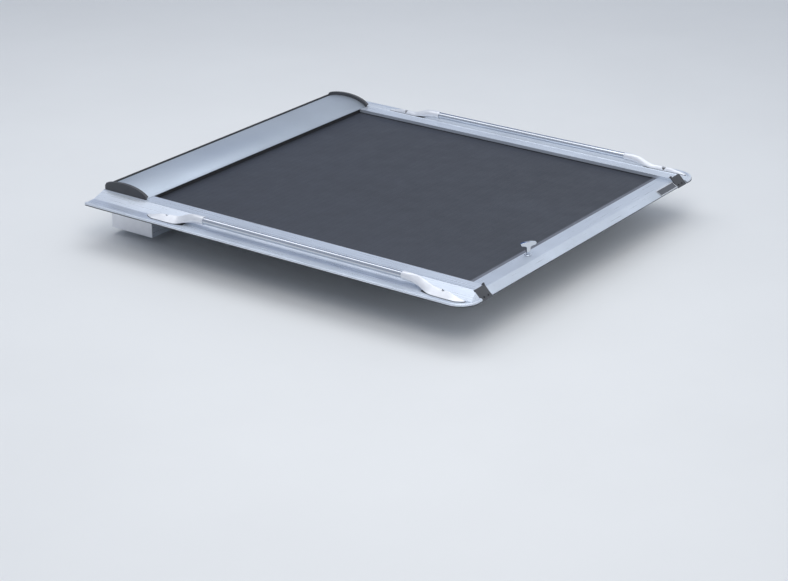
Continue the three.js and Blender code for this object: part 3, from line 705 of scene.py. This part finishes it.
def screw(name, place, radius, slot):
    """Pan head with a round socket."""
    outline = [(radius, -0.0004), (radius * 0.98, 0.0016), (radius * 0.80, 0.0028), (radius * 0.42, 0.0030),
               (radius * 0.36, 0.0024), (radius * 0.30, 0.0014)]
    mesh = turned(name, outline, place)
    smooth_mesh(mesh, 30)
    return piece(name, mesh, "root", LOOKS[slot])


def apply_modifiers(o):
    bpy.context.view_layer.update()
    evaluated = o.evaluated_get(bpy.context.evaluated_depsgraph_get())
    mesh = bpy.data.meshes.new_from_object(evaluated)
    o.modifiers.clear()
    o.data = mesh


for side_name, sign in (("left", -1), ("right", 1)):
    make_tube(sign, side_name)
    for end in ("front", "rear"):
        make_foot(sign, f"load_foot_{side_name}_{end}")

# ---------------------------------------------------------------- CAD shapes with their edges broken
BEVELS = {"lock_handle": 0.0012, "lock_escutcheon": 0.0008, "canister_housing": 0.0007,
          "lid_end_cap_left": 0.0014, "lid_end_cap_right": 0.0014,
          "rail_end_cap_left": 0.0009, "rail_end_cap_right": 0.0009, "name_plate": 0.0003,
          "curtain_edge_strip": 0.0003, "seat_strip_left": 0.0005, "seat_strip_right": 0.0005,
          "side_rail_left": 0.0011, "side_rail_right": 0.0011}
PLAIN = ("side_rail", "tail_bar", "rail_end_cap", "lid_end_cap", "canister", "clamp", "lock_escutcheon",
         "lock_handle", "lock_cam", "name_plate", "curtain_edge_strip", "seat_strip", "lip_seal",
         "bar_lip_seal", "lid_front_seal", "lid_wiper_seal", "bar_slider")
for node in sorted(NODES):
    if node.startswith(PLAIN):
        finished(node, BEVELS.get(node, 0.0006))

for node, o in sorted(NODES.items()):
    if not o.hide_render:
        o.data.materials.clear()
        o.data.materials.append(look_of(node))
        smooth_mesh(o.data, 35)



# ---------------------------------------------------------------- plate rim and cap screws
def make_plate_rim():
    """Raised bright border pressed into the plate's face."""
    face_low, face_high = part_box("name_plate")
    thick = 0.0012
    up = Vector((0, face_high.y - face_low.y, face_high.z - face_low.z)).normalized()
    lower = Vector((0, face_low.y, face_low.z + thick * up.y))
    upper = Vector((0, face_high.y - thick * up.z, face_high.z))
    up = (upper - lower).normalized()
    out = Vector((0, -up.z, up.y))
    tall = (upper - lower).length
    bead = [(0.0004, -0.0002), (0.0004, 0.0002), (0.0009, 0.0005), (0.0019, 0.0005), (0.0024, 0.0002),
            (0.0024, -0.0002)]
    points = []
    for corner in range(4):
        for inset, lift in bead:
            x = face_low.x + inset if corner in (0, 3) else face_high.x - inset
            rise = inset if corner in (0, 1) else tall - inset
            points.append(Vector((x, 0, 0)) + lower + up * rise + out * lift)
    count = len(bead)
    faces = []
    for corner in range(4):
        other = (corner + 1) % 4
        for k in range(count):
            n = (k + 1) % count
            faces.append((corner * count + k, corner * count + n, other * count + n, other * count + k))
    mesh = mesh_from("name_plate_rim", points, faces)
    smooth_mesh(mesh, 40)
    return piece("name_plate_rim", mesh, "tail_bar", LOOKS["cast_silver"])


make_plate_rim()
CAP_SCREWS = (0.016, 0.042)
CAP_SCREW_HEIGHT = 0.007
for side_name, sign in (("left", -1), ("right", 1)):
    cap_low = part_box(f"rail_end_cap_{side_name}")[0]
    on_face = cap_low.y + CAP_SCREW_HEIGHT - cap_low.z
    for number, out in enumerate(CAP_SCREWS):
        centre = Vector((sign * (INNER + out), on_face, CAP_SCREW_HEIGHT))
        screw(f"rail_end_screw_{side_name}_{number + 1}",
              Matrix.Translation(centre) @ Matrix.Rotation(math.radians(45), 4, "X"), 0.0034, "nylon")

# ---------------------------------------------------------------- floor, light and camera
low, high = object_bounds()
bpy.ops.mesh.primitive_plane_add(size=40, location=(0, 0, low.z - 0.0005))
floor = bpy.context.object
floor.name = "floor"
ground = Finish("floor_paint", (0.80, 0.80, 0.79), 0.0, 0.85)
ground.set_color(ground.paint(ground.spots(1.5, 4.0), 0.985, 1.01))
ground.bump(ground.spots(90, 3.0), 0.0002, 0.15)
floor.data.materials.append(ground.material)


def soft_box(name, place, target, size, energy, color=(1, 1, 1)):
    light = bpy.data.lights.new(name, "AREA")
    light.shape = "RECTANGLE"
    light.size, light.size_y = size
    light.energy = energy
    light.color = color
    o = bpy.data.objects.new(name, light)
    bpy.context.scene.collection.objects.link(o)
    o.location = place
    o.rotation_euler = (Vector(target) - Vector(place)).to_track_quat("-Z", "Y").to_euler()


soft_box("key", (-2.6, -3.0, 3.8), (0, -0.9, 0), (2.4, 2.4), 62, (1.0, 0.985, 0.96))
soft_box("sky", (0.6, -0.9, 4.0), (0, -0.9, 0), (3.2, 3.2), 46, (0.93, 0.965, 1.0))
soft_box("glint", (-0.25, 1.35, 3.45), (-0.4, -0.9, 0), (2.4, 2.4), 20)

# A soft sky: paler towards +X, dimmer towards +Y where a cab would stand, with one deep blue part.
world = bpy.data.worlds.new("studio")
world.use_nodes = True
sky = world.node_tree
direction = sky.nodes.new("ShaderNodeTexCoord")
along = sky.nodes.new("ShaderNodeVectorMath")
along.operation = "DOT_PRODUCT"
along.inputs[1].default_value = (0.80, -0.52, 0.30)
ramp = sky.nodes.new("ShaderNodeValToRGB")
ramp.color_ramp.interpolation = "EASE"
ramp.color_ramp.elements[0].position = 0.05
ramp.color_ramp.elements[0].color = (0.40, 0.44, 0.52, 1)
ramp.color_ramp.elements[1].position = 0.62
ramp.color_ramp.elements[1].color = (0.74, 0.79, 0.87, 1)
sky.links.new(direction.outputs["Generated"], along.inputs[0])
sky.links.new(along.outputs["Value"], ramp.inputs["Fac"])
blue_part = sky.nodes.new("ShaderNodeVectorMath")
blue_part.operation = "DOT_PRODUCT"
blue_part.inputs[1].default_value = Vector((0.60, 0.536, 0.59)).normalized()
blue_share = sky.nodes.new("ShaderNodeMapRange")
blue_share.inputs["From Min"].default_value = 0.955
blue_share.inputs["From Max"].default_value = 0.985
blue_mix = sky.nodes.new("ShaderNodeMix")
blue_mix.data_type = "RGBA"
blue_mix.inputs[7].default_value = (0.06, 0.12, 0.30, 1)
sky.links.new(direction.outputs["Generated"], blue_part.inputs[0])
sky.links.new(blue_part.outputs["Value"], blue_share.inputs["Value"])
sky.links.new(blue_share.outputs["Result"], blue_mix.inputs[0])
sky.links.new(ramp.outputs["Color"], blue_mix.inputs[6])
sky.links.new(blue_mix.outputs[2], sky.nodes["Background"].inputs["Color"])
sky.nodes["Background"].inputs["Strength"].default_value = 0.95
bpy.context.scene.world = world

AZIMUTH, ELEVATION = math.radians(-54.42), math.radians(22.815)
FOCAL_PIXELS, FRAME_WIDE, SENSOR = 2110.0, 788, 36.0
DISTANCE, AIM = 7.315, Vector((-0.8264, -1.4556, 0.0))
back = Vector((math.sin(AZIMUTH) * math.cos(ELEVATION), -math.cos(AZIMUTH) * math.cos(ELEVATION),
               math.sin(ELEVATION)))
camera = bpy.data.objects.new("camera", bpy.data.cameras.new("camera"))
bpy.context.scene.collection.objects.link(camera)
camera.data.sensor_width = SENSOR
camera.data.lens = FOCAL_PIXELS * SENSOR / FRAME_WIDE
camera.location = AIM + back * DISTANCE
camera.rotation_mode = "QUATERNION"
camera.rotation_quaternion = (-back).to_track_quat("-Z", "Y")
bpy.context.scene.camera = camera
bpy.context.scene.view_settings.view_transform = "Standard"
